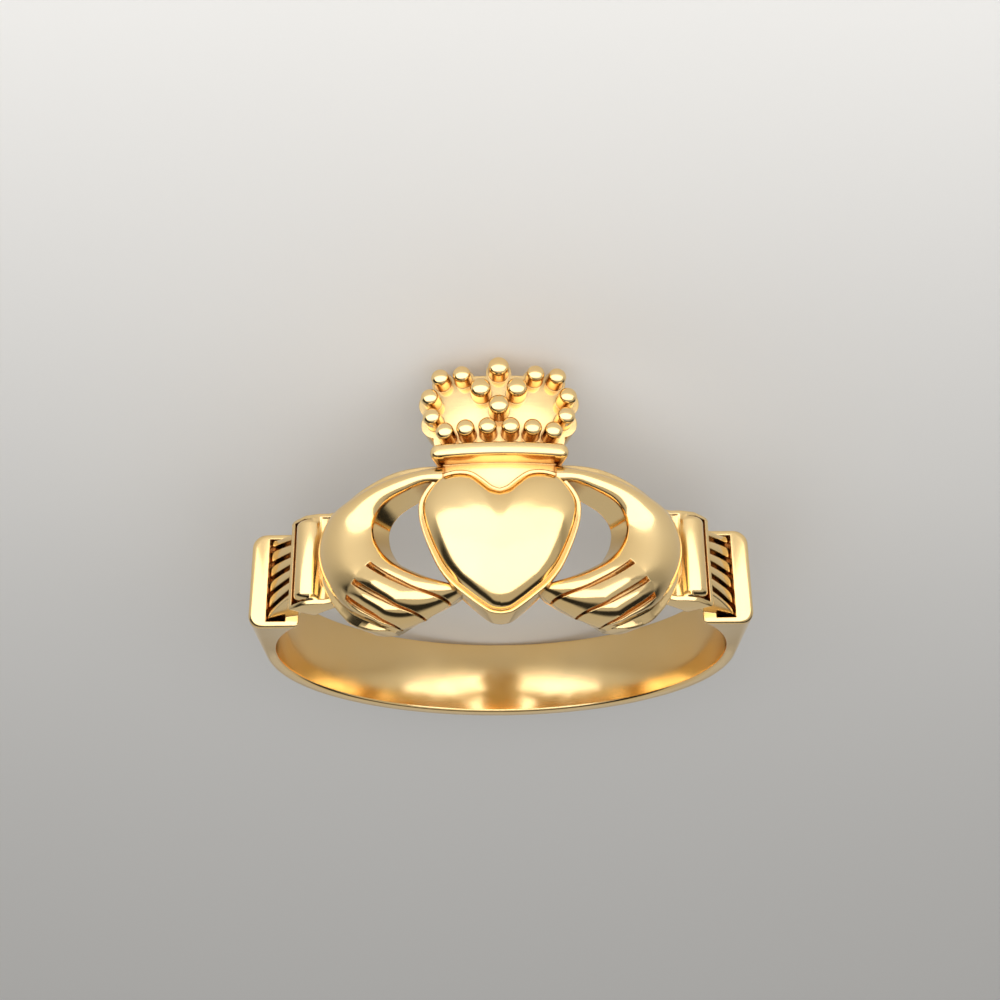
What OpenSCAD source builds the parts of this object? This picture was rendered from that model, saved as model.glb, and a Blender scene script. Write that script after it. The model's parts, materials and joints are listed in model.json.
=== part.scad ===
// A claddagh ring, cast in one piece: two hands hold a crowned heart.
// Own frame of the forms: z along the finger towards the crown, y outwards through the heart.
// The finished ring lies on its side, crown down, as it rests on a table.

/* [Finger] */
// Inside radius of the band, for a US size 7 finger
bore_r = 8.65; // [8:0.05:10]

/* [Band] */
// Width of the band at the back of the finger
band_w = 3.14; // [2.6:0.02:3.5]
// Thickness of the band at the back
back_t = 0.8; // [0.7:0.05:1.2]
// Thickness of the band where it is thinnest, at the sides
side_t = 0.5; // [0.4:0.05:0.7]
// Bevel on the band's edges at the back
edge_c = 0.2; // [0.1:0.05:0.3]

/* [Cuffs] */
// Width of the band at the cuffs
cuff_w = 3.6; // [3.5:0.05:4]
// Thickness of the cuff's rim at its outer side
rim_t = 0.65; // [0.5:0.05:0.8]
// Thickness of the cuff's rim at its two edges
rim_side_t = 0.3; // [0.2:0.02:0.34]
// Depth of the hollow that the sleeve comes out of
hollow_d = 0.55; // [0.3:0.05:0.8]
// Thickness of the metal between the hollow and the bore
hollow_floor = 0.4; // [0.3:0.05:0.6]
// Radius of the cuff's corners
cuff_corner_r = 0.5; // [0.3:0.05:0.7]

/* [Sleeves] */
// Height of the sleeve above the bore
sleeve_t = 0.95; // [0.85:0.05:1.1]
// Length of the sleeve between the cuff and the wrist
sleeve_l = 1.71; // [1.5:0.01:2.2]
// Number of slots between the pleats
slot_n = 5; // [3:2:5]
// Width of a slot
slot_w = 0.2; // [0.1:0.02:0.24]
// Depth of a slot
slot_d = 0.28; // [0.15:0.01:0.35]
// Distance between two slots at the cuff
pitch_cuff = 0.58; // [0.5:0.02:0.6]
// Distance between two slots at the wrist
pitch_wrist = 0.46; // [0.4:0.02:0.5]

/* [Wrists] */
// Length of the wrist around the finger, from the edge of the hand to the sleeve
wrist_l = 1.48; // [1.3:0.02:1.54]
// Length of the wrist's bar along the finger
bar_l = 3.2; // [2.8:0.05:3.4]
// Radius of the bar
bar_r = 0.5; // [0.4:0.02:0.54]
// Height of the bar's top above the bore
bar_t = 1.22; // [1.1:0.02:1.4]
// Bevel on the ends of the bar
bar_c = 0.16; // [0.08:0.02:0.2]
// Width of the lip beside the sleeve
lip_w = 0.22; // [0.16:0.02:0.36]
// Height of the lip above the bore
lip_t = 1.02; // [0.98:0.02:1.1]
// Width of the line between the lip and the bar
line_w = 0.1; // [0.06:0.02:0.2]
// Height of the metal below the line and between the bar and the hand
sole_t = 0.5; // [0.44:0.02:0.6]

/* [Hands] */
// Reach of a hand around the finger, from the heart's middle to the wrist
hand_l = 6.95; // [6.6:0.05:7.4]
// Height of a hand along the finger, from the fingertips to the thumb
hand_h = 5.9; // [5.6:0.05:6.2]
// Thickness of a hand at the edge of its back
hand_t = 0.82; // [0.75:0.01:0.9]
// Rise of the hand's back above its edge
back_rise = 0.6; // [0.4:0.02:0.8]
// Thickness of the flange around the hand
flange_t = 0.7; // [0.5:0.05:0.75]
// Width of the flange around the hand
flange_w = 0.26; // [0.15:0.01:0.35]
// Width of the grooves between the fingers
groove_w = 0.13; // [0.08:0.01:0.2]
// Depth of the grooves between the fingers
groove_d = 0.2; // [0.1:0.02:0.3]
// Thickness of the fingertips at their ends
tip_t = 0.35; // [0.3:0.05:0.6]

/* [Heart] */
// Width of the heart
heart_w = 5.48; // [5:0.02:5.8]
// Height of the heart from its tip to its lobes
heart_h = 5.16; // [4.9:0.01:5.4]
// Distance of the heart's lobes from the middle of the band
heart_top = 2.12; // [2:0.02:2.2]
// Thickness of the heart at its rim
heart_t = 1.1; // [1:0.05:1.3]
// Width of the heart's rim
heart_rim = 0.18; // [0.12:0.01:0.25]
// Rise of the heart's dome above its rim
heart_rise = 0.75; // [0.5:0.05:0.9]

/* [Crown] */
// Thickness of the crown's plate
plate_t = 0.95; // [0.88:0.01:1.2]
// Height of the round posts above the plate
post_h = 0.44; // [0.3:0.02:0.6]
// Radius of the crown's large beads
bead_r = 0.36; // [0.28:0.01:0.38]
// Share of the large beads' radius that the small ones have
small_bead = 0.86; // [0.75:0.01:1]
// Width of the plate's margin around the beads at the crown's sides
margin = 0.22; // [0.12:0.01:0.36]
// Width of the plate's margin around the beads at the crown's top
peak_margin = 0.08; // [0.04:0.01:0.12]
// Half of the crown's width, near the middle of its outermost beads
crown_half_w = 2.3; // [2.1:0.02:2.36]
// Distance from the crown's lowest row of beads to its top bead
crown_h = 2.24; // [2.1:0.02:2.4]
// Distance of the crown's lowest row of beads from the middle of the band
crown_low = 3.48; // [3.4:0.01:3.6]
// Length of the bar under the crown
base_l = 4.5; // [4.2:0.05:4.9]
// Width of the bar under the crown, along the finger
base_w = 0.5; // [0.4:0.02:0.6]
// Thickness of the bar under the crown
base_t = 1.6; // [1.45:0.05:1.8]
// Bevel on the long edges of the bar under the crown
base_c = 0.14; // [0.06:0.02:0.18]
// Distance of the middle of the bar under the crown from the middle of the band
base_z = 2.66; // [2.6:0.01:2.75]
// Thickness of the neck between the heart and the crown
neck_t = 0.85; // [0.7:0.01:0.9]
// Width of the neck between the heart and the crown
neck_w = 3.9; // [3:0.1:4.2]

/* [Hidden] */
$fn = 64;
gold = "gold";

// Lengths around the finger are measured on the circle at the height of the sleeves
wrap_r = bore_r + sleeve_t;
// Forms start this far inside the bore, which trims them
inset = 0.3;
core_r = bore_r - inset;
// How far a form that ends in another reaches into it
seat = 0.1;
// Far enough to cut right through
far = 3 * bore_r;
function arc_deg(s) = s / wrap_r * 180 / PI;
// The point at the length s around the finger, at z along it and at radius r
function wrap(s, z, r) = [r * sin(arc_deg(s)), r * cos(arc_deg(s)), z];

// Catmull-Rom curve through rows of numbers, with each gap cut into `steps`
function spline4(a, b, c, d, t) =
    0.5 * (2 * b + (c - a) * t + (2 * a - 5 * b + 4 * c - d) * t * t + (3 * b - a - 3 * c + d) * t * t * t);
function row_at(rows, i) = rows[max(0, min(len(rows) - 1, i))];
function smooth_rows(rows, steps) = [
    for (i = [0:len(rows) - 2]) for (k = [0:steps - 1])
        spline4(row_at(rows, i - 1), rows[i], rows[i + 1], row_at(rows, i + 2), k / steps),
    rows[len(rows) - 1]
];

// Sides of a ring of points swept through sections, and its two ends as fans
function swept_faces(sections, points) = concat(
    [for (i = [0:sections - 2]) for (j = [0:points - 1]) let (n = (j + 1) % points, a = i * points)
        each [[a + j, a + points + n, a + points + j], [a + j, a + n, a + points + n]]],
    [for (j = [1:points - 2]) [0, j + 1, j]],
    [for (j = [1:points - 2]) let (a = (sections - 1) * points) [a, a + j, a + j + 1]]
);

// Puts the children's y axis outwards at the length s around the finger
module at_arc(s) rotate([0, 0, -arc_deg(s)]) children();

// A block that stands on the finger, seen from outside as the outline, with a round top at radius r
module standing_block(r) intersection() {
    cylinder(r = r, h = far, center = true);
    translate([0, core_r, 0]) rotate([-90, 0, 0]) linear_extrude(far) children();
}

// Band with its two cuffs

back_r = bore_r + back_t;
side_x = bore_r + side_t;
// The band's outside is one round, moved back so that the back is thicker than the sides
band_shift = back_t - side_t;
band_r = bore_r + side_t;
// Lengths around the finger to the middle of the wrist's bar, to the sleeve and to the cuff
sleeve_s = hand_l + wrist_l;
bar_s = sleeve_s - lip_w - line_w - bar_r;
cuff_s = sleeve_s + sleeve_l;
// The cuff's rim lies in one plane, square to the direction of the heart
cuff_y = wrap_r * cos(arc_deg(cuff_s));
sleeve_x = wrap_r * sin(arc_deg(cuff_s));
// Gap between the sleeve and the walls of the cuff's hollow
play = 0.08;
cuff_x = sleeve_x + play + rim_t;

module band_outside() intersection() {
    union() {
        translate([0, -band_shift, 0]) cylinder(r = band_r, h = far, center = true, $fn = 128);
        linear_extrude(far, center = true)
            polygon([[-side_x, 0], [side_x, 0], [cuff_x, cuff_y], [-cuff_x, cuff_y]]);
    }
    // Seen from the side, the band widens towards the cuffs
    rotate([90, 0, 90]) linear_extrude(far, center = true) polygon([
        [cuff_y, -cuff_w / 2], [cuff_y, cuff_w / 2], [0, band_w / 2],
        [edge_c - back_r, band_w / 2], [-back_r, band_w / 2 - edge_c],
        [-back_r, edge_c - band_w / 2], [edge_c - back_r, -band_w / 2], [0, -band_w / 2]
    ]);
    // Seen from the heart, the cuffs have round corners
    rotate([90, 0, 0]) linear_extrude(far, center = true) offset(r = cuff_corner_r, $fn = 24)
        square([2 * (side_x - cuff_corner_r), cuff_w - 2 * cuff_corner_r], center = true);
}

module cuff_hollow() difference() {
    translate([0, cuff_y, 0])
        cube([2 * (sleeve_x + play), 2 * hollow_d, cuff_w - 2 * rim_side_t], center = true);
    cylinder(r = bore_r + hollow_floor, h = far, center = true, $fn = 128);
}

module band() color(gold) difference() {
    band_outside();
    cuff_hollow();
}

// Sleeve with its pleats

sleeve_w_cuff = cuff_w - 2 * rim_side_t - 2 * play;
// The outermost slots leave a narrow rib beside them
sleeve_w_wrist = slot_n * pitch_wrist + seat;
// The sleeve reaches down to the floor of the cuff's hollow
sleeve_tuck = hollow_d + seat;

module slot(k) {
    spread = k * (pitch_cuff - pitch_wrist);
    translate([0, wrap_r, k * (pitch_cuff + pitch_wrist) / 2]) rotate([0, -atan(spread / sleeve_l), 0])
        cube([sleeve_l + 2 * sleeve_tuck, 2 * slot_d, slot_w], center = true);
}

module sleeve() color(gold) at_arc((sleeve_s + cuff_s) / 2) difference() {
    standing_block(wrap_r) polygon([
        [-sleeve_l / 2 - seat, -sleeve_w_wrist / 2], [-sleeve_l / 2, -sleeve_w_wrist / 2],
        [sleeve_l / 2, -sleeve_w_cuff / 2], [sleeve_l / 2 + sleeve_tuck, -sleeve_w_cuff / 2],
        [sleeve_l / 2 + sleeve_tuck, sleeve_w_cuff / 2], [sleeve_l / 2, sleeve_w_cuff / 2],
        [-sleeve_l / 2, sleeve_w_wrist / 2], [-sleeve_l / 2 - seat, sleeve_w_wrist / 2]
    ]);
    for (k = [-(slot_n - 1) / 2 : (slot_n - 1) / 2]) slot(k);
}

// Wrist: a round bar, a lip beside the sleeve, and the low metal that carries both

// The bar's foot is a little narrower than the bar, which stands out over it
foot_w = 1.88 * bar_r;
// How much wider than the bar the lip and the low metal are
lip_over = 0.04;
sole_over = 0.3;

module wrist() color(gold) {
    at_arc(bar_s) {
        translate([0, bore_r + bar_t - bar_r, 0]) rotate_extrude($fn = 32) polygon([
            [0, -bar_l / 2], [bar_r - bar_c, -bar_l / 2], [bar_r, bar_c - bar_l / 2],
            [bar_r, bar_l / 2 - bar_c], [bar_r - bar_c, bar_l / 2], [0, bar_l / 2]
        ]);
        standing_block(bore_r + bar_t - bar_r) square([foot_w, bar_l - 2 * bar_c], center = true);
    }
    at_arc(sleeve_s - lip_w / 2) standing_block(bore_r + lip_t) square([lip_w, bar_l + lip_over], center = true);
    at_arc(sleeve_s - wrist_l / 2) standing_block(bore_r + sole_t)
        square([wrist_l + 2 * inset, bar_l + sole_over], center = true);
}

// Hand: sections from the thumb around the wrist to the fingertips

// Columns: outer edge around and along, inner edge around and along, rise, flange, bow towards the tips,
// and how far the row goes with the heart's lower part rather than with the hand's own height.
// Around in shares of hand_l, along and bow in shares of hand_h, rise in shares of back_rise and
// flange in shares of flange_w.
HAND = [
    [0.270,  0.405, 0.270,  0.285, 0.45, 0.2, 0,     0],
    [0.389,  0.391, 0.367,  0.290, 0.55, 0.9, 0,     0],
    [0.517,  0.372, 0.460,  0.251, 0.70, 1.3, 0,     0],
    [0.656,  0.333, 0.547,  0.207, 0.82, 1.4, 0,     0],
    [0.783,  0.280, 0.597,  0.161, 0.92, 1.4, 0,     0],
    [0.893,  0.216, 0.622,  0.115, 1.00, 1.4, 0,     0],
    [0.965,  0.115, 0.629,  0.076, 1.00, 1.3, 0,     0],
    [0.988, -0.003, 0.626,  0.037, 1.00, 1.2, 0,     0],
    [0.960, -0.129, 0.616, -0.008, 1.00, 1.1, 0,     0],
    [0.892, -0.258, 0.594, -0.056, 1.00, 1.1, 0,     0.2],
    [0.791, -0.376, 0.561, -0.107, 1.00, 1.3, 0,     0.4],
    [0.712, -0.436, 0.489, -0.178, 0.98, 1.4, 0.004, 0.6],
    [0.640, -0.480, 0.410, -0.234, 0.92, 1.2, 0.014, 0.8],
    [0.590, -0.511, 0.315, -0.287, 0.85, 0.7, 0.026, 1],
    [0.540, -0.530, 0.170, -0.335, 0.70, 0.2, 0.036, 1]
];
// The fingertips reach down beside the heart's tip, so their heights are shares of this
finger_h = 1.94 * (heart_h - heart_top);
// The row at which the fingers part
KNUCKLES = 10;
hand_steps = 3;
// Places across the hand, as shares from the outer edge to the inner one
ACROSS = [0, 0.05, 0.1, 0.27, 0.35, 0.5, 0.62, 0.68, 0.86, 0.95, 1];
// Where the grooves lie across the hand, at the knuckles and at the fingertips
GROOVES = [[0.16, 0.07], [0.42, 0.42], [0.75, 0.77]];
// Share of a groove's width that its floor has
groove_floor = 0.8;
// How far behind the knuckles the grooves start, as a share of a row
groove_start = 0.08;
// How much higher the hand's inner edge lies than its outer one, as a share of back_rise
inner_lift = 0.35;
// Lower powers make the hand's back rise more steeply at its edges
back_power = 0.6;
// The wall between the flange and the hand's back leans by this share of the section
draft = 0.02;

function row_h(row) = hand_h + (finger_h - hand_h) * row[7];
function hand_point(row, v, r) = let (bulge = max(0, 4 * v * (1 - v))) wrap(
    hand_l * (row[0] + (row[2] - row[0]) * v), row_h(row) * (row[1] + (row[3] - row[1]) * v - row[6] * bulge), r);
function hand_r(row, v) =
    bore_r + hand_t + back_rise * (row[4] * pow(4 * v * (1 - v), back_power) + inner_lift * v);
// Across places of one section with its grooves, as pairs of place and depth
function groove_places(u, depth, width) = [
    for (g = GROOVES) let (v = g[0] + (g[1] - g[0]) * u, w = groove_w / width / 2)
        each [[v - w, 0], [v - w * groove_floor, depth], [v + w * groove_floor, depth], [v + w, 0]]
];
function sorted_places(places) = len(places) <= 1 ? places : let (p = places[floor(len(places) / 2)][0]) concat(
    sorted_places([for (q = places) if (q[0] < p) q]), [for (q = places) if (q[0] == p) q],
    sorted_places([for (q = places) if (q[0] > p) q]));
// A section, at most `top` thick, whose grooves have gone the share u of their way
function hand_section(row, u, depth, top) = let (
    width = norm([hand_l * (row[0] - row[2]), row_h(row) * (row[1] - row[3])]),
    out = -draft - flange_w * row[5] / width,
    flange_r = bore_r + min(flange_t, top),
    places = sorted_places(concat([for (v = ACROSS) [v, 0]], groove_places(u, depth, width)))
) concat(
    [hand_point(row, out, core_r), hand_point(row, out, flange_r), hand_point(row, -draft, flange_r)],
    [for (p = places) hand_point(row, p[0], min(hand_r(row, p[0]), bore_r + top) - p[1])],
    [hand_point(row, 1, core_r)]
);

module hand() color(gold) {
    rows = smooth_rows(HAND, hand_steps);
    first = KNUCKLES * hand_steps;
    last = len(rows) - 1;
    knuckle_row = spline4(rows[first - 1], rows[first], rows[first + 1], rows[first + 2], groove_start);
    sections = concat(
        [for (i = [0:first]) hand_section(rows[i], 0, 0, far)],
        [hand_section(knuckle_row, 0, groove_d, far)],
        [for (i = [first + 1:last - 1]) hand_section(rows[i], (i - first) / (last - first), groove_d, far)],
        [hand_section(rows[last], 1, groove_d / 2, tip_t)]
    );
    polyhedron([for (s = sections) each s], swept_faces(len(sections), len(sections[0])));
}

// Heart: a rim around a dome

// Half of the outline from the notch to the tip, across in shares of heart_w and down from the lobes
// in shares of heart_h
HEART = [
    [0.000, 0.137], [0.045, 0.117], [0.100, 0.066], [0.165, 0.017], [0.235, 0.000], [0.310, 0.006],
    [0.378, 0.035], [0.445, 0.104], [0.492, 0.192], [0.500, 0.279], [0.482, 0.378], [0.440, 0.511],
    [0.368, 0.678], [0.290, 0.789], [0.212, 0.866], [0.138, 0.932], [0.066, 0.985], [0.000, 1.000]
];
heart_steps = 2;
// The dome's rings: size as a share of the rim's inner edge, height as a share of the rise
DOME = [
    [1.000, 0.00], [0.965, 0.28], [0.900, 0.50], [0.800, 0.70], [0.650, 0.86], [0.450, 0.95], [0.220, 0.99]
];
// The rings shrink towards this point, a share of heart_h below the lobes
heart_mid = heart_top - 0.45 * heart_h;

function heart_half() = [
    for (p = smooth_rows(HEART, heart_steps)) [max(0, p[0]) * heart_w, heart_top - p[1] * heart_h]
];
function heart_outline() = let (h = heart_half(), n = len(h)) concat(
    h, [for (i = [n - 2:-1:1]) [-h[i][0], h[i][1]]]);
// The outline moved inwards by d
function inwards(p, d) = let (n = len(p)) [
    for (i = [0:n - 1]) let (t = p[(i + 1) % n] - p[(i + n - 1) % n]) p[i] + d * [t[1], -t[0]] / norm(t)
];
function heart_ring(p, share, r) = [
    for (q = p) wrap(q[0] * share, heart_mid + (q[1] - heart_mid) * share, r)
];

module heart() color(gold) {
    outline = heart_outline();
    inner = inwards(outline, heart_rim);
    rim_r = bore_r + heart_t;
    n = len(outline);
    rings = concat(
        [heart_ring(outline, 1, core_r), heart_ring(outline, 1, rim_r)],
        [for (d = DOME) heart_ring(inner, d[0], rim_r + d[1] * heart_rise)]
    );
    points = concat([for (r = rings) each r], [wrap(0, heart_mid, rim_r + heart_rise), wrap(0, heart_mid, core_r)]);
    top = len(points) - 2;
    polyhedron(points, concat(
        [for (i = [0:len(rings) - 2]) for (j = [0:n - 1]) let (k = (j + 1) % n, a = i * n)
            each [[a + j, a + n + k, a + k], [a + j, a + n + j, a + n + k]]],
        [for (j = [0:n - 1]) let (a = (len(rings) - 1) * n) [a + j, top, a + (j + 1) % n]],
        [for (j = [0:n - 1]) [(j + 1) % n, top + 1, j]]
    ));
}

// Crown: beads on posts, on a plate that follows them

// Columns: around in shares of crown_half_w, along in shares of crown_h from the lowest row,
// 1 for a large bead, and 1 for the narrow margin
BEADS = [
    [0.000,  1.000, 1, 1], [0.257,  0.647, 1, 1], [0.000,  0.353, 1, 1],
    [0.524,  0.896, 0, 1], [0.835,  0.872, 0, 1], [0.984,  0.554, 0, 0], [0.951,  0.222, 0, 0],
    [0.161,  0.004, 0, 0], [0.468, -0.014, 0, 0], [0.763, -0.041, 0, 0]
];
plate_r = bore_r + plate_t;
bead_y = plate_r + post_h;
crown_top = crown_low + crown_h;
// The plate between the lobes reaches up to this share of crown_h, and out to this share of the half width
plate_top = 0.96;
plate_side = 0.98;
// Share of a bead's radius that its post has
post_share = 0.97;
function bead_size(b) = bead_r * (b[2] == 1 ? 1 : small_bead);
function lobe_size(b) = bead_size(b) + (b[3] == 1 ? peak_margin : margin);

// The children at each bead's place, on both sides of the middle, with the bead in $bead
module at_beads() for (b = BEADS, side = b[0] == 0 ? [1] : [-1, 1]) {
    $bead = b;
    at_arc(side * b[0] * crown_half_w) translate([0, 0, crown_low + b[1] * crown_h]) children();
}
module outward_rod(r, from, to)
    translate([0, from, 0]) rotate([-90, 0, 0]) cylinder(r = r, h = to - from, $fn = 24);

module crown() color(gold) {
    plate_z1 = crown_low + plate_top * crown_h;
    intersection() {
        cylinder(r = plate_r, h = far, center = true);
        union() {
            standing_block(far) translate([0, -(base_z + plate_z1) / 2])
                square([2 * crown_half_w * plate_side, plate_z1 - base_z], center = true);
            at_beads() outward_rod(lobe_size($bead), core_r - seat, plate_r + 1);
        }
    }
    at_beads() {
        outward_rod(bead_size($bead) * post_share, core_r, bead_y);
        translate([0, bead_y, 0]) sphere(r = bead_size($bead), $fn = 24);
    }
}

// Bar under the crown and the neck that carries it

module crown_base() color(gold) {
    half_deg = arc_deg(base_l / 2);
    top_r = bore_r + base_t;
    z0 = base_z - base_w / 2;
    z1 = base_z + base_w / 2;
    rotate([0, 0, 90 - half_deg]) rotate_extrude(angle = 2 * half_deg, $fn = 96) polygon([
        [core_r, z0], [top_r - base_c, z0], [top_r, z0 + base_c],
        [top_r, z1 - base_c], [top_r - base_c, z1], [core_r, z1]
    ]);
    // The neck starts under the heart's lobes
    neck_z0 = heart_top - heart_h / 4;
    standing_block(bore_r + neck_t) translate([0, -(neck_z0 + base_z) / 2])
        square([neck_w, base_z - neck_z0], center = true);
}

// Finger hole

module finger_bore() cylinder(r = bore_r, h = far, center = true, $fn = 128);

// The carved front, joined into one faceted body at its own size
module front() resize([0, 0, 0]) {
    for (side = [0, 1]) mirror([side, 0, 0]) hand();
    heart();
    crown_base();
}

module upright_ring() difference() {
    union() {
        band();
        for (side = [0, 1]) mirror([side, 0, 0]) {
            sleeve();
            wrist();
        }
        front();
        crown();
    }
    finger_bore();
}

// Lying on its side: the crown's peak and the back edge of the band touch the table

peak_z = crown_top + bead_r + peak_margin;
tilt = atan((peak_z - band_w / 2) / (bore_r + back_r - edge_c));
lift = peak_z * cos(tilt) - bore_r * sin(tilt);
front = bead_y * cos(tilt) + crown_top * sin(tilt) + bead_r;
rear = back_r * cos(tilt) + (band_w / 2 - edge_c) * sin(tilt);

module ring() translate([0, (front - rear) / 2, lift]) rotate([180 - tilt, 0, 0]) upright_ring();

ring();
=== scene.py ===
import json
import math

import bmesh
import bpy
import numpy as np
from mathutils import Matrix, Vector


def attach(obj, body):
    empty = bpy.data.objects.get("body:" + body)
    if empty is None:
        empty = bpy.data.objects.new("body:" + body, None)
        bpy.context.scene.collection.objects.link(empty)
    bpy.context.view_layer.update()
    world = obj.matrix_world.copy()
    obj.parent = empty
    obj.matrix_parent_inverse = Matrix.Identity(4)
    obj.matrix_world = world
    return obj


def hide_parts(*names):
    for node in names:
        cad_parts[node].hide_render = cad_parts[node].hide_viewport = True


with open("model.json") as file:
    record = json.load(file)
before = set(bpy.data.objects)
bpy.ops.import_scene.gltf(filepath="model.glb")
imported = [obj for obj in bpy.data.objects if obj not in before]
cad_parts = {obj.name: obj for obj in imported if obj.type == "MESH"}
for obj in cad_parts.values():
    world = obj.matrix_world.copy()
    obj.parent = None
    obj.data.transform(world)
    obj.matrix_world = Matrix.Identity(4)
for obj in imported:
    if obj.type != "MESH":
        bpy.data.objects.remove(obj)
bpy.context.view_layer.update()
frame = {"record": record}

MM = 0.001

# The ring is made upright, in millimetres: z along the finger towards the crown and y outwards through
# the heart. It is then laid on its side where the frame's finger bore is.
BORE = next(m for m in frame["record"]["mounts"] if m["name"] == "finger_bore")
BORE_R = BORE["dims"]["r_mm"]
BORE_POS = np.array(BORE["pos_m"])
TILT = math.atan2(BORE["axis"][1], BORE["axis"][2])

# Band and cuffs
BAND_W = 3.14
BACK_T = 0.8
SIDE_T = 0.5
EDGE_R = 0.2
INNER_EDGE_R = 0.12
CUFF_W = 3.6
CUFF_CORNER_R = 0.5
CUFF_EDGE_R = 0.2
RIM_T = 0.65
RIM_SIDE_T = 0.22
HOLLOW_D = 0.55
HOLLOW_FLOOR = 0.4
# Between the sleeve and the cuff's rim
PLAY = 0.08
BAND_STEPS = 130
# Higher powers keep the band narrow for longer on its way to the cuff
BAND_GROWTH = 1.5

# Sleeves
SLEEVE_T = 0.95
SLEEVE_L = 1.71
SLOTS = 5
SLOT_W = 0.2
SLOT_D = 0.28
# Places on a slot's floor, in shares of its width
SLOT_FLOOR = (0.12, 0.5, 0.88)
PITCH_CUFF = 0.58
PITCH_WRIST = 0.46
RIB_CROWN = 0.02
# Higher powers keep the sleeve narrow for longer on its way to the cuff
SLEEVE_GROWTH = 1.5

# Wrists: a tray whose rim is the lip, with the bar and the slope in it
WRIST_L = 1.48
TRAY_L = 3.36
TRAY_CORNER = 0.24
# How much the rim drops around the tray's corners, and how late it comes down on its way to the hand
RIM_DROP = 0.06
RIM_FALL = 1.5
RECESS_L = 3.06
# Length over which the recess's end walls rise, and the least gap to the rim's next section
RECESS_WALL = 0.04
RECESS_GAP = 0.01
BAR_L = 3.04
BAR_R = 0.5
BAR_T = 1.22
# Length of the bar's round ends, and the share of its radius that is left at the very end
BAR_END = 0.24
BAR_END_R = 0.12
LIP_W = 0.22
LIP_T = 1.02
LIP_EDGE = 0.05
LINE_W = 0.1
SOLE_T = 0.5
# Where the slope starts on the bar's side, as an angle over its axis, its length and its foot's height
SLOPE_LEAN = math.radians(32)
SLOPE_L = 0.3
SLOPE_FOOT = 0.02
# Higher powers make the slope more hollow
SLOPE_POWER = 2.2
# How far the bed reaches into the bar and under the hand
BED_IN_BAR = 0.2
BED_REACH = 0.3

# Hands
HAND_L = 6.95
HAND_H = 5.9
HAND_T = 0.82
BACK_RISE = 0.6
BACK_POWER = 0.6
INNER_LIFT = 0.35
FLANGE_T = 0.7
FLANGE_W = 0.26
DRAFT = 0.02
# Width of the grooves at the knuckles and at the fingertips
GROOVE_W = (0.2, 0.1)
GROOVE_D = 0.2
# Share of its depth that a groove keeps at the very tip
GROOVE_AT_TIP = 0.5
# The most that half a groove takes up of the hand's width
GROOVE_SHARE = 0.12
FINGER_RISE = 0.07
TIP_T = 0.35
# The last rows over which the fingers' ends turn down, and how much earlier the grooves do
TIP_ROWS = 1.3
GROOVE_LEAD = 0.12

# Heart
HEART_W = 5.48
HEART_H = 5.16
HEART_TOP = 2.12
HEART_T = 1.1
HEART_RIM = 0.18
HEART_RISE = 0.75
# Higher first powers make the dome's top flatter, and lower second ones make its foot steeper
DOME_POWERS = (2.5, 0.45)

# Crown, the bar under it and the neck
PLATE_T = 0.95
POST_H = 0.44
BEAD_R = 0.36
# Height of a bead's round top as a share of its radius
BEAD_TOP = 0.7
# A bead's last ring lies just short of its top
BEAD_STOP = math.radians(88)
# Share of the large beads' radius that the small ones have
SMALL_BEAD = 0.86
MARGIN = 0.22
PEAK_MARGIN = 0.08
CROWN_HALF_W = 2.3
CROWN_H = 2.24
CROWN_LOW = 3.48
PLATE_TOP = 0.96
PLATE_SIDE = 0.98
PLATE_LEAN = math.radians(4)
POST_SHARE = 0.97
BASE_L = 4.5
BASE_W = 0.5
BASE_T = 1.6
BASE_EDGE_R = 0.16
# Length of the bar's round ends, and how much they draw in along the finger and in height
BASE_END = 0.3
BASE_END_DRAW = (0.16, 0.25)
BASE_Z = 2.66
NECK_T = 0.85
NECK_W = 3.9
NECK_LEAN = math.radians(3)

# Lengths around the finger are measured on the circle at the height of the sleeves
WRAP_R = BORE_R + SLEEVE_T
# Forms start inside the bore, which trims them. The band's own bore stands a hair inside that of the rest.
CORE_R = BORE_R - 0.3
TRIM_R = BORE_R + 0.01
SEAT = 0.1
# Past everything along the finger
FAR = 8
SLEEVE_S = HAND_L + WRIST_L
BAR_S = SLEEVE_S - LIP_W - LINE_W - BAR_R
CUFF_S = SLEEVE_S + SLEEVE_L
CUFF_Y = WRAP_R * math.cos(CUFF_S / WRAP_R)
SLEEVE_X = WRAP_R * math.sin(CUFF_S / WRAP_R)
CUFF_X = SLEEVE_X + PLAY + RIM_T


# Points and meshes

def wrap(s, z, r):
    """Points at the lengths s around the finger, at z along it and at the radii r."""
    s, z, r = np.broadcast_arrays(np.asarray(s, float), z, r)
    return np.stack([r * np.sin(s / WRAP_R), r * np.cos(s / WRAP_R), z], axis=-1)


def quarter(radius, steps):
    """A quarter round as pairs of the distances from its two outer sides, from one side to the other."""
    turn = np.linspace(0, math.pi / 2, steps + 1)
    return np.stack([radius * (1 - np.cos(turn)), radius * (1 - np.sin(turn))], axis=-1)


def smooth_rows(rows, steps):
    """Catmull-Rom curve through rows of numbers, with each gap cut into steps."""
    padded = np.vstack([rows[:1], rows, rows[-1:]])
    found = []
    for a, b, c, d in zip(padded, padded[1:], padded[2:], padded[3:]):
        for t in np.arange(steps) / steps:
            found.append(0.5 * (2 * b + (c - a) * t + (2 * a - 5 * b + 4 * c - d) * t ** 2
                                + (3 * b - a - 3 * c + d) * t ** 3))
    return np.array(found + [rows[-1]])


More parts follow.
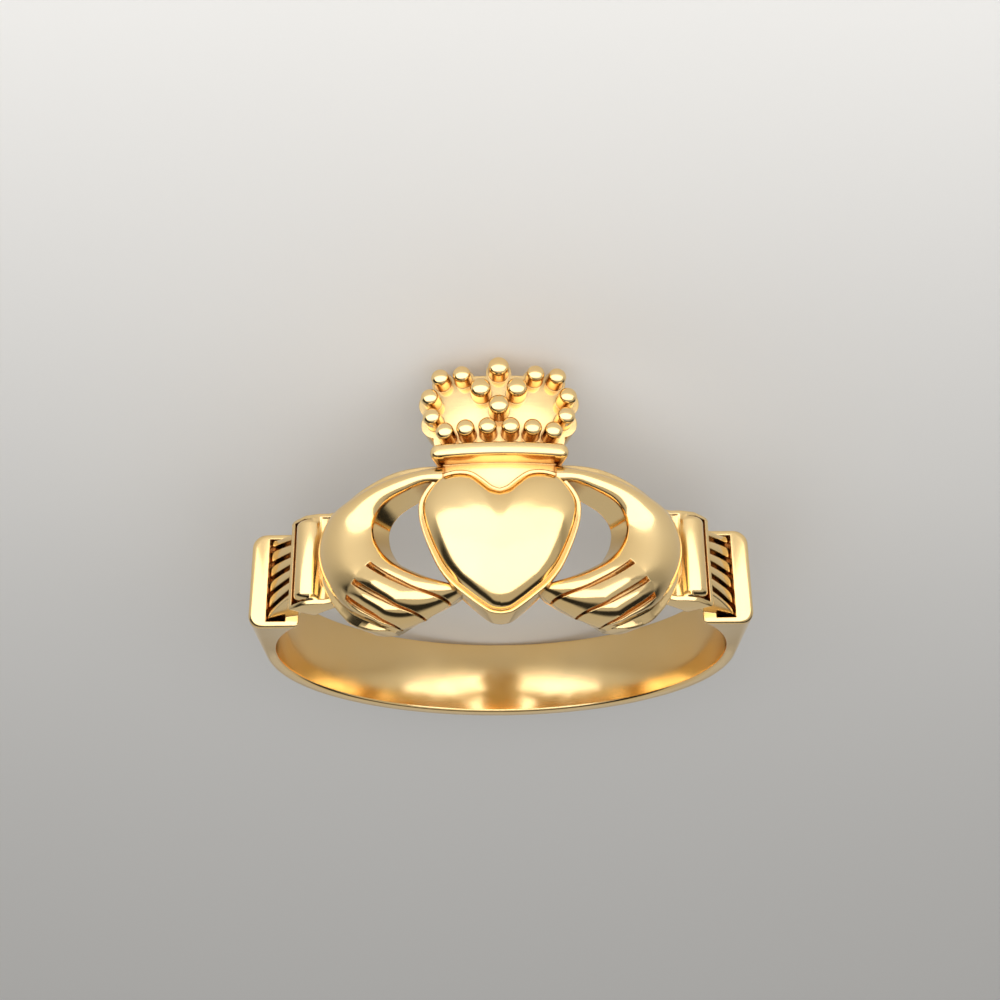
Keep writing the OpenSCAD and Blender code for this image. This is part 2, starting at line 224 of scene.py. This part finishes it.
def body(name, points, faces):
    """A closed mesh, with its faces turned outwards."""
    mesh = bpy.data.meshes.new(name)
    mesh.from_pydata(np.asarray(points, float).tolist(), [], faces)
    work = bmesh.new()
    work.from_mesh(mesh)
    bmesh.ops.recalc_face_normals(work, faces=work.faces)
    if work.calc_volume(signed=True) < 0:
        bmesh.ops.reverse_faces(work, faces=work.faces)
    work.to_mesh(mesh)
    work.free()
    piece = bpy.data.objects.new(name, mesh)
    bpy.context.scene.collection.objects.link(piece)
    return piece


def side_faces(rows, around):
    return [(i * around + j, i * around + (j + 1) % around,
             (i + 1) * around + (j + 1) % around, (i + 1) * around + j)
            for i in range(rows - 1) for j in range(around)]


def swept(name, sections):
    """A closed body through rings of points, with its two ends closed."""
    sections = np.asarray(sections, float)
    rows, around = sections.shape[:2]
    last = (rows - 1) * around
    ends = [tuple(range(around)), tuple(range(last, last + around))]
    return body(name, sections.reshape(-1, 3), side_faces(rows, around) + ends)


def rod(s, z, profile, around):
    """Sections of a round rod that stands on the finger at s and z, through pairs of radius and height."""
    turn = np.linspace(0, 2 * math.pi, around, endpoint=False)
    angle = s / WRAP_R
    out = np.array([math.sin(angle), math.cos(angle), 0])
    across = np.array([math.cos(angle), -math.sin(angle), 0])
    along = np.array([0, 0, 1])
    return [h * out + z * along + r * (np.outer(np.cos(turn), across) + np.outer(np.sin(turn), along))
            for r, h in profile]


def mirrored(sections):
    return np.asarray(sections, float) * (-1, 1, 1)


def both_sides(name, sections):
    return [swept(name + "_left", sections), swept(name + "_right", mirrored(sections))]


def combine(piece, other, operation):
    """Cuts the other body from the piece, joins it to it, or keeps what they share."""
    modifier = piece.modifiers.new("combine", "BOOLEAN")
    modifier.operation = operation
    modifier.solver = "MANIFOLD"
    modifier.object = other
    graph = bpy.context.evaluated_depsgraph_get()
    mesh = bpy.data.meshes.new_from_object(piece.evaluated_get(graph))
    piece.modifiers.clear()
    piece.data = mesh
    bpy.data.objects.remove(other)
    return piece


def fused(pieces):
    whole = pieces[0]
    for piece in pieces[1:]:
        combine(whole, piece, "UNION")
    return whole


# Band with its two cuffs

def outer_point(length):
    """A point of the band's outside at that length from its back: a round, then straight to the cuff."""
    radius = BORE_R + SIDE_T
    shift = BACK_T - SIDE_T
    quarter_l = radius * math.pi / 2
    if length < quarter_l:
        return np.array([radius * math.sin(length / radius), -shift - radius * math.cos(length / radius)])
    share = (length - quarter_l) / math.hypot(radius - CUFF_X, CUFF_Y + shift)
    return np.array([radius, -shift]) * (1 - share) + np.array([CUFF_X, CUFF_Y]) * share


def band_section(length, whole):
    """One ring of the band's half. The last stretch draws in, as the rounded edge of the cuff's rim."""
    share = length / whole
    turn = -math.pi / 2 + share * (math.pi / 2 + math.asin(CUFF_Y / BORE_R))
    inner = BORE_R * np.array([math.cos(turn), math.sin(turn)])
    outer = outer_point(length)
    thick = np.linalg.norm(outer - inner)
    out = (outer - inner) / thick
    grow = max(0, outer[1] / CUFF_Y) ** BAND_GROWTH
    left = CUFF_EDGE_R - min(CUFF_EDGE_R, whole - length)
    draw = CUFF_EDGE_R - math.sqrt(CUFF_EDGE_R ** 2 - left ** 2)
    half = (BAND_W + (CUFF_W - BAND_W) * grow) / 2 - draw / 2
    top = thick - draw
    corner = quarter(EDGE_R + (CUFF_CORNER_R - EDGE_R) * grow, 8)
    inner_corner = quarter(INNER_EDGE_R, 4)
    profile = [(half - a, top - b) for a, b in corner]
    profile += [(-half + b, top - a) for a, b in corner]
    profile += [(-half + a, b) for a, b in inner_corner]
    profile += [(half - b, a) for a, b in inner_corner]
    return [[*(inner + out * h), z] for z, h in profile]


def band():
    whole = (BORE_R + SIDE_T) * math.pi / 2 + math.hypot(BORE_R + SIDE_T - CUFF_X, CUFF_Y + BACK_T - SIDE_T)
    edge = CUFF_EDGE_R * (1 - np.cos(np.linspace(0, math.pi / 2, 7)))
    lengths = np.concatenate([np.linspace(0, whole - CUFF_EDGE_R, BAND_STEPS)[:-1], whole - edge[::-1]])
    half = np.array([band_section(length, whole) for length in lengths])
    sections = np.concatenate([mirrored(half[:0:-1]), half])
    piece = swept("band", sections)
    for side in (-1, 1):
        combine(piece, cuff_hollow(side), "DIFFERENCE")
    return piece


def cuff_hollow(side):
    floor_r = BORE_R + HOLLOW_FLOOR
    y = np.linspace(CUFF_Y - HOLLOW_D, CUFF_Y + HOLLOW_D, 16)
    floor = np.stack([np.sqrt(floor_r ** 2 - y ** 2), y], axis=-1)
    wall = [[SLEEVE_X + PLAY, CUFF_Y + HOLLOW_D], [SLEEVE_X + PLAY, CUFF_Y - HOLLOW_D]]
    outline = np.concatenate([floor, wall]) * (side, 1)
    half = CUFF_W / 2 - RIM_SIDE_T
    return swept("hollow", [[[x, y, z] for x, y in outline] for z in (-half, half)])


# Sleeves with their pleats

def sleeve():
    width_cuff = CUFF_W - 2 * RIM_SIDE_T - 2 * PLAY
    width_wrist = SLOTS * PITCH_WRIST + SEAT
    rib = np.linspace(0, 1, 9)
    crown = RIB_CROWN * np.abs(2 * rib - 1) ** 3
    sections = []
    for s in np.linspace(SLEEVE_S - SEAT, CUFF_S + HOLLOW_D + SEAT, 26):
        share = (s - SLEEVE_S) / SLEEVE_L
        pitch = PITCH_WRIST + (PITCH_CUFF - PITCH_WRIST) * share
        half = (width_wrist + (width_cuff - width_wrist) * min(1, max(0, share)) ** SLEEVE_GROWTH) / 2
        centres = pitch * (np.arange(SLOTS) - (SLOTS - 1) / 2)
        starts = np.concatenate([[-half], centres + SLOT_W / 2])
        stops = np.concatenate([centres - SLOT_W / 2, [half]])
        profile = [(-half, CORE_R)]
        for k, (start, stop) in enumerate(zip(starts, stops)):
            profile += [(start + (stop - start) * t, WRAP_R - c) for t, c in zip(rib, crown)]
            if k < SLOTS:
                profile += [(stop + SLOT_W * t, WRAP_R - SLOT_D) for t in SLOT_FLOOR]
        profile.append((half, CORE_R))
        sections.append([wrap(s, z, r) for z, r in profile])
    return both_sides("sleeve", sections)


# Wrists: a round bar, a lip beside the sleeve and a hollow slope down to the hand

def wrist_bar():
    angle = BAR_S / WRAP_R
    out = np.array([math.sin(angle), math.cos(angle), 0])
    across = np.array([math.cos(angle), -math.sin(angle), 0])
    turn = np.linspace(0, 2 * math.pi, 48, endpoint=False)
    half = BAR_L / 2 - BAR_END + BAR_END * np.sin(np.linspace(0, math.pi / 2, 12))
    z = np.concatenate([-half[::-1], half])
    past = np.clip((np.abs(z) - (BAR_L / 2 - BAR_END)) / BAR_END, 0, 1)
    radius = BAR_R * (BAR_END_R + (1 - BAR_END_R) * np.sqrt(1 - past ** 2))
    centre = (BORE_R + BAR_T - BAR_R) * out
    return both_sides("wrist_bar", [
        centre + [0, 0, height] + r * (np.outer(np.cos(turn), out) + np.outer(np.sin(turn), across))
        for height, r in zip(z, radius)])


def wrist_bed():
    lip_r = BORE_R + LIP_T
    sole_r = BORE_R + SOLE_T
    bar_r = BORE_R + BAR_T - BAR_R
    lip_s = SLEEVE_S - LIP_W
    slope_s = BAR_S - BAR_R * math.cos(SLOPE_LEAN)
    slope_r = bar_r + BAR_R * math.sin(SLOPE_LEAN)
    foot_r = sole_r + SLOPE_FOOT
    end_s = slope_s - SLOPE_L - BED_REACH
    slope = [(slope_s - SLOPE_L * t, foot_r + (slope_r - foot_r) * (1 - t) ** SLOPE_POWER)
             for t in np.linspace(0, 1, 9)]
    profile = np.array([
        (SLEEVE_S, CORE_R), (SLEEVE_S, lip_r - LIP_EDGE), (SLEEVE_S - LIP_EDGE, lip_r), (lip_s, lip_r),
        (lip_s, sole_r), (lip_s - LINE_W, sole_r), (lip_s - LINE_W, bar_r), (BAR_S, bar_r + BED_IN_BAR),
        *slope, (end_s, sole_r), (end_s, CORE_R)
    ])
    # The tray's rim runs around both ends of the recess
    inside = RECESS_L / 2
    corner = TRAY_L / 2 - TRAY_CORNER * (1 - np.sin(np.linspace(0, math.pi / 2, 10)))
    half = np.concatenate([[inside - RECESS_WALL, inside], corner[corner > inside + RECESS_GAP]])
    sections = []
    for z in np.concatenate([-half[::-1], half]):
        past = min(1, max(0, (abs(z) - TRAY_L / 2 + TRAY_CORNER) / TRAY_CORNER))
        draw = 1 - math.sqrt(1 - past ** 2)
        s = np.minimum(profile[:, 0], SLEEVE_S - TRAY_CORNER * draw)
        # On its way to the hand the rim comes down to the sole
        fall = np.clip((BAR_S - s) / (BAR_R + SLOPE_L), 0, 1) ** RIM_FALL
        rim = lip_r - RIM_DROP * draw - (lip_r - sole_r) * fall
        rim = np.where(profile[:, 1] > CORE_R, rim, CORE_R)
        sections.append(wrap(s, z, profile[:, 1] if abs(z) < inside else rim))
    return both_sides("wrist_bed", sections)


# Hands: sections from the thumb around the wrist to the fingertips

# Columns: outer edge around and along, inner edge around and along, rise, flange, bow towards the tips.
# Around in shares of HAND_L, along and bow in shares of HAND_H, rise in shares of BACK_RISE and
# flange in shares of FLANGE_W.
HAND = np.array([
    [0.270,  0.405, 0.270,  0.285, 0.45, 0.2, 0],
    [0.389,  0.391, 0.367,  0.290, 0.55, 0.9, 0],
    [0.517,  0.372, 0.460,  0.251, 0.70, 1.3, 0],
    [0.656,  0.333, 0.547,  0.207, 0.82, 1.4, 0],
    [0.783,  0.280, 0.597,  0.161, 0.92, 1.4, 0],
    [0.893,  0.216, 0.622,  0.115, 1.00, 1.4, 0],
    [0.965,  0.115, 0.629,  0.076, 1.00, 1.3, 0],
    [0.988, -0.003, 0.626,  0.037, 1.00, 1.2, 0],
    [0.960, -0.129, 0.616, -0.008, 1.00, 1.1, 0],
    [0.892, -0.258, 0.594, -0.056, 1.00, 1.1, 0],
    [0.791, -0.376, 0.561, -0.107, 1.00, 1.3, 0],
    [0.712, -0.436, 0.489, -0.178, 0.98, 1.4, 0.004],
    [0.640, -0.480, 0.410, -0.234, 0.92, 1.2, 0.014],
    [0.590, -0.511, 0.315, -0.287, 0.85, 0.7, 0.026],
    [0.540, -0.530, 0.170, -0.335, 0.70, 0.2, 0.036],
])
KNUCKLES = 10
HAND_STEPS = 10
# Where the grooves lie across the hand, at the knuckles and at the fingertips
GROOVES = np.array([[0.16, 0.07], [0.42, 0.42], [0.75, 0.77]])
# Places across a groove in shares of its half width, and their shares of its depth
GROOVE_FORM = ((-0.8, 0.85), (-0.4, 1), (0.4, 1), (0.8, 0.85))
# The flange from its outer edge to the hand's back: shares of its width, and heights against FLANGE_T
FLANGE_FORM = ((0, -0.1), (0.06, -0.04), (0.25, 0), (0.9, 0), (1, 0.02))
# Places across each finger, closer together where the hand's back rises from its two edges
ACROSS = (np.linspace(0, 1, 13) ** 2, np.linspace(0, 1, 9), np.linspace(0, 1, 9),
          1 - np.linspace(1, 0, 9) ** 1.3)


def hand_places(u, width):
    """Places across the hand, with the finger's crown and the groove's depth there, each as a share."""
    half = min(GROOVE_SHARE, (GROOVE_W[0] + (GROOVE_W[1] - GROOVE_W[0]) * u) / width / 2)
    centres = GROOVES[:, 0] + (GROOVES[:, 1] - GROOVES[:, 0]) * u
    starts = [0, *(centres + half)]
    stops = [*(centres - half), 1]
    places = []
    for k, shares in enumerate(ACROSS):
        places += [(starts[k] + (stops[k] - starts[k]) * t, 4 * t * (1 - t), 0) for t in shares]
        if k < len(centres):
            places += [(centres[k] + half * t, 0, depth) for t, depth in GROOVE_FORM]
    return places


def kept_height(left):
    """Share of its height that a finger keeps where that share of its turn down is left."""
    return math.sqrt(1 - (1 - min(1, max(0, left))) ** 2)


def hand_section(row, u, depth, left):
    """A section whose grooves have gone the share u of their way. left falls from 1 to 0 at the very tips."""
    width = math.hypot(HAND_L * (row[0] - row[2]), HAND_H * (row[1] - row[3]))
    flange = FLANGE_W * row[5] / width
    flange_t = TIP_T + (FLANGE_T - TIP_T) * kept_height(left)
    profile = [(-DRAFT - flange, CORE_R - BORE_R)]
    profile += [(-DRAFT - flange * (1 - share), flange_t + rise) for share, rise in FLANGE_FORM]
    for v, crown, groove in hand_places(u, width):
        dome = row[4] * (4 * v * (1 - v)) ** BACK_POWER + INNER_LIFT * v
        thick = HAND_T + BACK_RISE * dome + FINGER_RISE * min(1, 4 * u) * crown
        full = kept_height(left - GROOVE_LEAD * groove)
        thick = TIP_T + (thick - TIP_T) * full
        kept = GROOVE_AT_TIP + (1 - GROOVE_AT_TIP) * full
        profile.append((v, thick - GROOVE_D * depth * groove * kept))
    profile.append((1, CORE_R - BORE_R))
    v, thick = np.array(profile).T
    bulge = np.clip(4 * v * (1 - v), 0, None)
    return wrap(HAND_L * (row[0] + (row[2] - row[0]) * v),
                HAND_H * (row[1] + (row[3] - row[1]) * v - row[6] * bulge), BORE_R + thick)


def hand():
    rows = smooth_rows(HAND, HAND_STEPS)
    first = KNUCKLES * HAND_STEPS
    last = len(rows) - 1
    # Places along the rows: one more where the grooves drop, and more of them where the tips turn down
    drop = first + 0.2
    turn_down = last - TIP_ROWS * HAND_STEPS * (1 - np.sin(np.linspace(0, math.pi / 2, 15)))
    places = np.concatenate([np.arange(first + 1), [drop], np.arange(first + 1, turn_down[0]), turn_down])
    sections = []
    for place in places:
        i = min(int(place), last - 1)
        row = rows[i] + (rows[i + 1] - rows[i]) * (place - i)
        u = max(0, (place - first) / (last - first))
        left = (last - place) / HAND_STEPS / TIP_ROWS
        sections.append(hand_section(row, u, 1 if place > first else 0, left))
    return both_sides("hand", sections)


# Heart: a rim around a dome

# Half of the outline from the notch to the tip, across in shares of HEART_W and down from the lobes
# in shares of HEART_H
HEART = np.array([
    [0.000, 0.137], [0.045, 0.117], [0.100, 0.066], [0.165, 0.017], [0.235, 0.000], [0.310, 0.006],
    [0.378, 0.035], [0.445, 0.104], [0.492, 0.192], [0.500, 0.279], [0.482, 0.378], [0.440, 0.511],
    [0.368, 0.678], [0.290, 0.789], [0.212, 0.866], [0.138, 0.932], [0.066, 0.985], [0.000, 1.000],
])
HEART_STEPS = 6
# The rim from its outer wall down its inner slope to the dome's foot: distances inwards and below its top
HEART_EDGE = ((0, 0.1), (0.01, 0.05), (0.03, 0.015), (0.06, 0), (0.1, 0.005), (0.14, 0.03), (0.18, 0.04))
HEART_MID = HEART_TOP - 0.45 * HEART_H


def heart():
    half = smooth_rows(HEART, HEART_STEPS)
    half = np.stack([np.clip(half[:, 0], 0, None) * HEART_W, HEART_TOP - half[:, 1] * HEART_H], axis=-1)
    outline = np.concatenate([half, half[-2:0:-1] * (-1, 1)])
    along = np.roll(outline, -1, axis=0) - np.roll(outline, 1, axis=0)
    inwards = np.stack([along[:, 1], -along[:, 0]], axis=-1) / np.linalg.norm(along, axis=1)[:, None]
    rim_r = BORE_R + HEART_T
    sections = [wrap(outline[:, 0], outline[:, 1], CORE_R)]
    for inset, drop in HEART_EDGE:
        edge = outline + inset * inwards
        sections.append(wrap(edge[:, 0], edge[:, 1], rim_r - drop))
    # The dome's rings shrink from the rim's inner edge to the middle, and lie closer together at the foot
    foot = outline + HEART_RIM * inwards
    foot_drop = HEART_EDGE[-1][1]
    flat, steep = DOME_POWERS
    for q in 1 - np.linspace(0, 1, 36)[1:-1] ** 1.8:
        rise = (1 - q ** flat) ** steep
        sections.append(wrap(foot[:, 0] * q, HEART_MID + (foot[:, 1] - HEART_MID) * q,
                             rim_r - foot_drop + rise * (HEART_RISE + foot_drop)))
    return swept("heart", sections)


# Crown: beads on posts, on a plate that follows them

# Columns: around in shares of CROWN_HALF_W, along in shares of CROWN_H from the lowest row,
# 1 for a large bead, and 1 for the narrow margin
BEADS = (
    (0.000,  1.000, 1, 1), (0.257,  0.647, 1, 1), (0.000,  0.353, 1, 1),
    (0.524,  0.896, 0, 1), (0.835,  0.872, 0, 1), (0.984,  0.554, 0, 0), (0.951,  0.222, 0, 0),
    (0.161,  0.004, 0, 0), (0.468, -0.014, 0, 0), (0.763, -0.041, 0, 0),
)


def bead_places():
    """Each bead's length around, place along, radius and margin, on both sides of the middle."""
    for around, along, large, narrow in BEADS:
        for side in ((1,) if around == 0 else (-1, 1)):
            yield (side * around * CROWN_HALF_W, CROWN_LOW + along * CROWN_H,
                   BEAD_R if large else BEAD_R * SMALL_BEAD, PEAK_MARGIN if narrow else MARGIN)


def curved_block(name, half, z0, z1, r0, r1):
    """A block on the finger from -half to half around it, whose round top has the radii r0 and r1."""
    return swept(name, [wrap(s, [z0, z0, z1, z1], [CORE_R, r0, r1, CORE_R])
                        for s in np.linspace(-half, half, 24)])


def leaning(radius, middle, lean, z):
    """The radius at z of a surface that leans outwards towards the crown."""
    return radius + (z - middle) * math.tan(lean)


def crown():
    plate_r = BORE_R + PLATE_T
    bead_r = plate_r + POST_H
    # The plate and its lobes are made too high, and its leaning round top then cuts them
    over = plate_r + 1
    plate_z1 = CROWN_LOW + PLATE_TOP * CROWN_H
    plate = curved_block("crown_plate", CROWN_HALF_W * PLATE_SIDE, BASE_Z, plate_z1, over, over)
    for s, z, radius, margin in bead_places():
        lobe = rod(s, z, [(radius + margin, CORE_R - SEAT), (radius + margin, over)], 48)
        combine(plate, swept("lobe", lobe), "UNION")
    turn = np.linspace(0, 2 * math.pi, 384, endpoint=False)
    round_top = []
    for z in (-FAR, FAR):
        r = leaning(plate_r, (BASE_Z + plate_z1) / 2, PLATE_LEAN, z)
        round_top.append(np.stack([r * np.cos(turn), r * np.sin(turn), 0 * turn + z], axis=-1))
    combine(plate, swept("plate_top", round_top), "INTERSECT")
    beads = []
    for s, z, radius, _ in bead_places():
        foot_r = bead_r + radius * (1 - BEAD_TOP)
        round_part = [(radius * math.cos(a), foot_r + BEAD_TOP * radius * math.sin(a))
                      for a in np.linspace(0, BEAD_STOP, 16)]
        beads.append(swept("bead", rod(s, z, [(radius * POST_SHARE, CORE_R)] + round_part, 40)))
    return [plate] + beads


# The bar under the crown and the neck that carries it

def base_bar():
    top_r = BORE_R + BASE_T
    half = BASE_L / 2
    round_end = half - BASE_END * (1 - np.cos(np.linspace(0, math.pi / 2, 10)))
    places = np.concatenate([round_end, np.linspace(half - BASE_END, 0, 14)[1:]])
    places = np.concatenate([-places, places[-2::-1]])
    corner = quarter(BASE_EDGE_R, 6)
    sections = []
    for s in places:
        past = max(0, (abs(s) - (half - BASE_END)) / BASE_END)
        draw = 1 - math.sqrt(max(0, 1 - past ** 2))
        z = BASE_W / 2 - BASE_END_DRAW[0] * draw
        top = top_r - BASE_END_DRAW[1] * draw
        profile = [(-z, CORE_R)] + [(-z + a, top - b) for a, b in corner]
        profile += [(z - b, top - a) for a, b in corner] + [(z, CORE_R)]
        sections.append([wrap(s, BASE_Z + y, r) for y, r in profile])
    return swept("base_bar", sections)


def neck():
    # It starts inside the heart
    z0 = HEART_TOP - HEART_H / 4
    r0, r1 = (leaning(BORE_R + NECK_T, HEART_TOP, NECK_LEAN, z) for z in (z0, BASE_Z))
    return curved_block("neck", NECK_W / 2, z0, BASE_Z, r0, r1)


# The ring at rest

# Edges sharper than this stay sharp
SHARP_ANGLE = math.radians(32)


def lie(piece):
    """Lays the upright ring on its side, in metres, with its bore on the frame's."""
    turn = Matrix.Rotation(math.pi - TILT, 4, "X")
    piece.data.transform(Matrix.Translation(Vector(BORE_POS)) @ turn @ Matrix.Scale(MM, 4))


def ring():
    front = fused([heart(), *hand(), neck(), base_bar(), *crown(), *sleeve(), *wrist_bed(), *wrist_bar()])
    turn = np.linspace(0, 2 * math.pi, 384, endpoint=False)
    circle = np.stack([TRIM_R * np.cos(turn), TRIM_R * np.sin(turn), 0 * turn], axis=-1)
    combine(front, swept("bore", [circle - [0, 0, FAR], circle + [0, 0, FAR]]), "DIFFERENCE")
    piece = fused([front, band()])
    piece.name = "ring_gold"
    piece.data.name = "ring_gold"
    lie(piece)
    piece.data.shade_smooth()
    piece.data.set_sharp_from_angle(angle=SHARP_ANGLE)
    return piece


# Gold

GOLD = ((0.95, 0.67, 0.30, 1), (0.97, 0.72, 0.36, 1))
GOLD_SCALE = 260
ROUGHNESS = (0.10, 0.19)
ROUGHNESS_SCALE = 700
# Painted shade: a brown that darkens the gold in recesses, mixed in where the ambient occlusion finds them
# closed in
PAINTED_SHADE_COLOUR = (0.42, 0.22, 0.08, 1)
PAINTED_SHADE_REACH = 0.5 * MM
# The open shares at which the brown painted shade starts and is fullest, and how much of it there is then
PAINTED_SHADE_OPEN = (0.75, 0.3)
PAINTED_SHADE_SHARE = 0.85
SCRATCH_SCALE = 2600
SCRATCH_DEPTH = 0.01 * MM
WAVE_SCALE = 420
WAVE_DEPTH = 0.06 * MM
BEVEL_R = 0.045 * MM


def node(tree, kind, **values):
    made = tree.nodes.new(kind)
    for key, value in values.items():
        if key in made.inputs.keys():
            made.inputs[key].default_value = value
        else:
            setattr(made, key, value)
    return made


def gold():
    material = bpy.data.materials.new("polished_gold")
    material.use_nodes = True
    tree = material.node_tree
    shader = tree.nodes["Principled BSDF"]
    shader.inputs["Metallic"].default_value = 1
    place = node(tree, "ShaderNodeTexCoord")

    def noise(scale, detail, low, high):
        made = node(tree, "ShaderNodeTexNoise", Scale=scale, Detail=detail)
        tree.links.new(place.outputs["Object"], made.inputs["Vector"])
        spread = node(tree, "ShaderNodeMapRange")
        for key, value in (("From Min", 0.3), ("From Max", 0.7), ("To Min", low), ("To Max", high)):
            spread.inputs[key].default_value = value
        tree.links.new(made.outputs["Fac"], spread.inputs["Value"])
        return spread.outputs["Result"]

    def mixed(share, first, second):
        made = node(tree, "ShaderNodeMix", data_type="RGBA")
        for socket, value in zip((made.inputs[0], made.inputs[6], made.inputs[7]), (share, first, second)):
            if isinstance(value, bpy.types.NodeSocket):
                tree.links.new(value, socket)
            else:
                socket.default_value = value
        return made.outputs[2]

    # Painted shade: recesses are darkened to brown where the ambient occlusion finds them closed in
    recess = node(tree, "ShaderNodeAmbientOcclusion", samples=6, only_local=True, Distance=PAINTED_SHADE_REACH)
    depth = node(tree, "ShaderNodeMapRange")
    for key, value in zip(("From Min", "From Max", "To Min", "To Max"), (*PAINTED_SHADE_OPEN, 0, PAINTED_SHADE_SHARE)):
        depth.inputs[key].default_value = value
    tree.links.new(recess.outputs["AO"], depth.inputs["Value"])
    metal = mixed(noise(GOLD_SCALE, 3, 0, 1), *GOLD)
    colour = mixed(depth.outputs["Result"], metal, PAINTED_SHADE_COLOUR)
    tree.links.new(colour, shader.inputs["Base Color"])

    # Polish, with fine scratches from wear
    tree.links.new(noise(ROUGHNESS_SCALE, 4, *ROUGHNESS), shader.inputs["Roughness"])
    stretch = node(tree, "ShaderNodeMapping")
    stretch.inputs["Scale"].default_value = (0.35, 2.4, 2.4)
    stretch.inputs["Rotation"].default_value = (0.4, 0.7, 0.5)
    scratch = node(tree, "ShaderNodeTexNoise", Scale=SCRATCH_SCALE, Detail=2)
    tree.links.new(place.outputs["Object"], stretch.inputs["Vector"])
    tree.links.new(stretch.outputs["Vector"], scratch.inputs["Vector"])
    wave = node(tree, "ShaderNodeTexNoise", Scale=WAVE_SCALE, Detail=2)
    tree.links.new(place.outputs["Object"], wave.inputs["Vector"])
    edge = node(tree, "ShaderNodeBevel", samples=6, Radius=BEVEL_R)
    bump = node(tree, "ShaderNodeBump", Strength=0.05, Distance=SCRATCH_DEPTH)
    soft = node(tree, "ShaderNodeBump", Strength=0.12, Distance=WAVE_DEPTH)
    tree.links.new(edge.outputs["Normal"], soft.inputs["Normal"])
    tree.links.new(wave.outputs["Fac"], soft.inputs["Height"])
    tree.links.new(soft.outputs["Normal"], bump.inputs["Normal"])
    tree.links.new(scratch.outputs["Fac"], bump.inputs["Height"])
    tree.links.new(bump.outputs["Normal"], shader.inputs["Normal"])
    return material


# Floor, light and camera

FLOOR_HALF = 1.5
FLOOR_COLOUR = (0.74, 0.73, 0.71, 1)
PANEL_DISTANCE = 31 * MM
PANEL_SIZE = (100 * MM, 36 * MM)
PANEL_LIGHT = 1.7
TOP_HEIGHT = 150 * MM
TOP_SIZE = (300 * MM, 300 * MM)
TOP_LIGHT = 0.3
SURROUNDINGS = 0.5
DARK = 0.02
DARK_TURN = math.radians(16)
# The room's strength at shares of the way from the front (0) to the back (1)
ROOM = ((0.42, SURROUNDINGS), (0.49, DARK), (0.70, DARK), (0.78, SURROUNDINGS))


def floor():
    corners = ((-1, -1), (1, -1), (1, 1), (-1, 1))
    mesh = bpy.data.meshes.new("floor")
    mesh.from_pydata([(FLOOR_HALF * x, FLOOR_HALF * y, 0) for x, y in corners], [], [(0, 1, 2, 3)])
    piece = bpy.data.objects.new("floor", mesh)
    bpy.context.scene.collection.objects.link(piece)
    material = bpy.data.materials.new("pale_floor")
    material.use_nodes = True
    shader = material.node_tree.nodes["Principled BSDF"]
    shader.inputs["Base Color"].default_value = FLOOR_COLOUR
    shader.inputs["Roughness"].default_value = 0.75
    mesh.materials.append(material)


def panel(name, place, turn, size, light, in_reflections=True):
    """A soft light of that radiance, which the camera doesn't see."""
    data = bpy.data.lights.new(name, "AREA")
    data.shape = "RECTANGLE"
    data.size, data.size_y = size
    data.energy = light * math.pi * size[0] * size[1]
    piece = bpy.data.objects.new(name, data)
    piece.location = place
    piece.rotation_euler = turn
    piece.visible_camera = False
    piece.visible_glossy = in_reflections
    bpy.context.scene.collection.objects.link(piece)


def studio():
    panel("front_panel", (0, -PANEL_DISTANCE, PANEL_SIZE[1] / 2), (math.pi / 2, 0, 0),
          PANEL_SIZE, PANEL_LIGHT)
    panel("top_panel", (0, 0, TOP_HEIGHT), (0, 0, 0), TOP_SIZE, TOP_LIGHT, in_reflections=False)
    world = bpy.data.worlds.new("studio")
    world.use_nodes = True
    tree = world.node_tree
    place = tree.nodes.new("ShaderNodeTexCoord")
    # The room is pale in front and behind. A dark stretch runs over the ring from side to side,
    # turned a little
    backwards = tree.nodes.new("ShaderNodeVectorMath")
    backwards.operation = "DOT_PRODUCT"
    backwards.inputs[1].default_value = (math.sin(DARK_TURN), math.cos(DARK_TURN), 0)
    across = node(tree, "ShaderNodeMapRange")
    across.inputs["From Min"].default_value = -1
    shade = node(tree, "ShaderNodeValToRGB")
    stops = shade.color_ramp.elements
    for share, strength in ROOM:
        stop = stops.new(share)
        stop.color = (strength, strength, strength, 1)
    stops[0].color = stops[-1].color = (SURROUNDINGS, SURROUNDINGS, SURROUNDINGS, 1)
    background = tree.nodes["Background"]
    background.inputs["Color"].default_value = (1, 0.99, 0.97, 1)
    tree.links.new(place.outputs["Generated"], backwards.inputs[0])
    tree.links.new(backwards.outputs["Value"], across.inputs["Value"])
    tree.links.new(across.outputs["Result"], shade.inputs["Fac"])
    tree.links.new(shade.outputs["Color"], background.inputs["Strength"])
    bpy.context.scene.world = world
    bpy.context.scene.view_settings.view_transform = "Standard"


def camera():
    """The photo's camera, fitted to the bore and the band."""
    # In millimetres, with X to the right, Y towards the crown and Z out of the heart
    lean = math.radians(22.9)
    roll = math.radians(0.53)
    distance = 54.7
    offset = (0.008, 4.66)
    right = Vector((1, 0, 0))
    up = Vector((0, math.cos(lean), math.sin(lean)))
    back = Vector((0, -math.sin(lean), math.cos(lean)))
    place = offset[0] * right + offset[1] * up + distance * back
    rolled_right = math.cos(roll) * right - math.sin(roll) * up
    rolled_up = math.sin(roll) * right + math.cos(roll) * up
    upright = Matrix(((-1, 0, 0), (0, 0, 1), (0, 1, 0)))
    turn = Matrix.Rotation(math.pi - TILT, 3, "X") @ upright
    axes = Matrix([turn @ v for v in (rolled_right, rolled_up, back)]).transposed()
    data = bpy.data.cameras.new("camera")
    data.lens = 50
    data.sensor_width = 36
    data.clip_start = 1 * MM
    data.clip_end = 10
    piece = bpy.data.objects.new("camera", data)
    piece.matrix_world = Matrix.Translation(Vector(BORE_POS) + MM * (turn @ place)) @ axes.to_4x4()
    bpy.context.scene.collection.objects.link(piece)
    bpy.context.scene.camera = piece


camera()
piece = ring()
piece.data.materials.clear()
piece.data.materials.append(gold())
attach(piece, "root")
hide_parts("ring")
floor()
studio()
